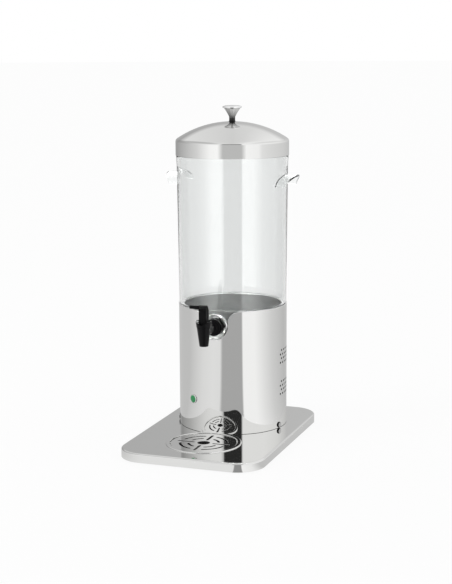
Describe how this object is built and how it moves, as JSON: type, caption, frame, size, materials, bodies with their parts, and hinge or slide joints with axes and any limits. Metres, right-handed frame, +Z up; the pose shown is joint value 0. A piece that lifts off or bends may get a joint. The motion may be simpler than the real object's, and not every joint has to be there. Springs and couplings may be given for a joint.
{
  "type": "drink dispenser",
  "caption": "Counter-top drink dispenser: clear tank with a lever tap in a polished steel cooler housing on a base plate with drip tray; domed lid with knob.",
  "frame": {"origin": "centre of the footprint, on the table", "axes": "+Z up, -Y to the front where the tap is, +X to the right as seen from the front"},
  "size_m": [0.225, 0.336, 0.5164],
  "materials": {
    "polished_steel": "mirror-polished stainless steel",
    "satin_steel": "satin stainless steel",
    "screw_steel": "zinc-plated steel",
    "aluminium": "plain machined aluminium",
    "clear_plastic": "clear moulded plastic, glossy",
    "black_plastic": "black moulded plastic, fine satin",
    "grey_plastic": "dark grey moulded plastic",
    "white_plastic": "white moulded plastic",
    "black_rubber": "black rubber",
    "silicone": "translucent food silicone",
    "foam": "closed-cell insulation foam",
    "lamp_green": "translucent green lens, lit",
    "ceramic": "white ceramic faces",
    "brass": "plated brass blades"
  },
  "bodies": {
    "base": {"base_plate": "polished_steel", "bottom_cover": "satin_steel", "rubber_feet": "black_rubber", "foot_screws": "screw_steel", "cover_spacers": "black_plastic", "tray_ring": "polished_steel", "housing_shell": "polished_steel", "foot_ring": "satin_steel", "side_screws": "screw_steel", "side_screw_caps": "black_plastic", "well_liner": "polished_steel", "insulation_sleeve": "foam", "insulation_pad": "foam", "cold_plate": "aluminium", "thermoelectric_module": "ceramic", "module_gasket": "foam", "heat_sink": "aluminium", "clamp_screws": "screw_steel", "carrier_plate": "satin_steel", "carrier_screws": "screw_steel", "lower_pillars": "screw_steel", "upper_pillars": "screw_steel", "pillar_screws": "screw_steel", "liner_screws": "screw_steel", "fan_frame": "black_plastic", "fan_screws": "screw_steel", "power_supply": "aluminium", "terminal_block": "white_plastic", "power_inlet": "black_plastic", "inlet_blades": "brass", "switch_frame": "black_plastic", "lamp_bezel": "polished_steel", "lamp_lens": "lamp_green", "lamp_body": "black_plastic", "lamp_nut": "screw_steel"},
    "tank_unit": {"tank": "clear_plastic", "transfer_plate": "polished_steel", "transfer_seal": "silicone", "handle_left": "clear_plastic", "handle_right": "clear_plastic", "tap_body": "black_plastic", "tap_seal_outer": "black_rubber", "tap_seal_inner": "black_rubber", "tap_lock_nut": "black_plastic", "tap_bonnet": "black_plastic", "seat_bellows": "silicone"},
    "lid": {"lid_dome": "polished_steel", "lid_knob": "polished_steel", "knob_washer": "screw_steel", "knob_screw": "screw_steel", "lid_seal": "silicone", "lid_seat_ring": "polished_steel"},
    "tray": {"drip_tray": "polished_steel"},
    "grid": {"drip_grid": "polished_steel"},
    "rotor": {"fan_rotor": "black_plastic"},
    "rocker": {"switch_rocker": "black_plastic"},
    "valve": {"tap_stem": "polished_steel", "seat_cup": "silicone", "lever_pin": "polished_steel"},
    "lever": {"tap_lever": "grey_plastic"}
  },
  "joints": [
    {"name": "tank_lift", "type": "slide", "parent": "base", "child": "tank_unit", "axis": [0, 0, 1], "range_m": [0, 0.12]},
    {"name": "lid_lift", "type": "slide", "parent": "tank_unit", "child": "lid", "axis": [0, 0, 1], "range_m": [0, 0.08]},
    {"name": "tray_lift", "type": "slide", "parent": "base", "child": "tray", "axis": [0, 0, 1], "range_m": [0, 0.06]},
    {"name": "grid_lift", "type": "slide", "parent": "tray", "child": "grid", "axis": [0, 0, 1], "range_m": [0, 0.04]},
    {"name": "fan_spin", "type": "hinge", "parent": "base", "child": "rotor", "pos_m": [0, 0.0546, 0.1], "axis": [0, 0, 1], "continuous": true},
    {"name": "switch_rock", "type": "hinge", "parent": "base", "child": "rocker", "pos_m": [0, 0.136, 0.08], "axis": [1, 0, 0], "range_deg": [0, 20]},
    {"name": "lever_press", "type": "hinge", "parent": "valve", "child": "lever", "pos_m": [0, -0.077, 0.2035], "axis": [1, 0, 0], "range_deg": [0, 25]},
    {"name": "stem_lift", "type": "slide", "parent": "tank_unit", "child": "valve", "axis": [0, 0, 1], "range_m": [0, 0.00227], "stiffness_N_per_m": 60, "springref_m": -0.003}
  ],
  "couplings": [
    {"joint": "lever_press", "follows": "stem_lift", "rad_per_m": 192.2}
  ]
}
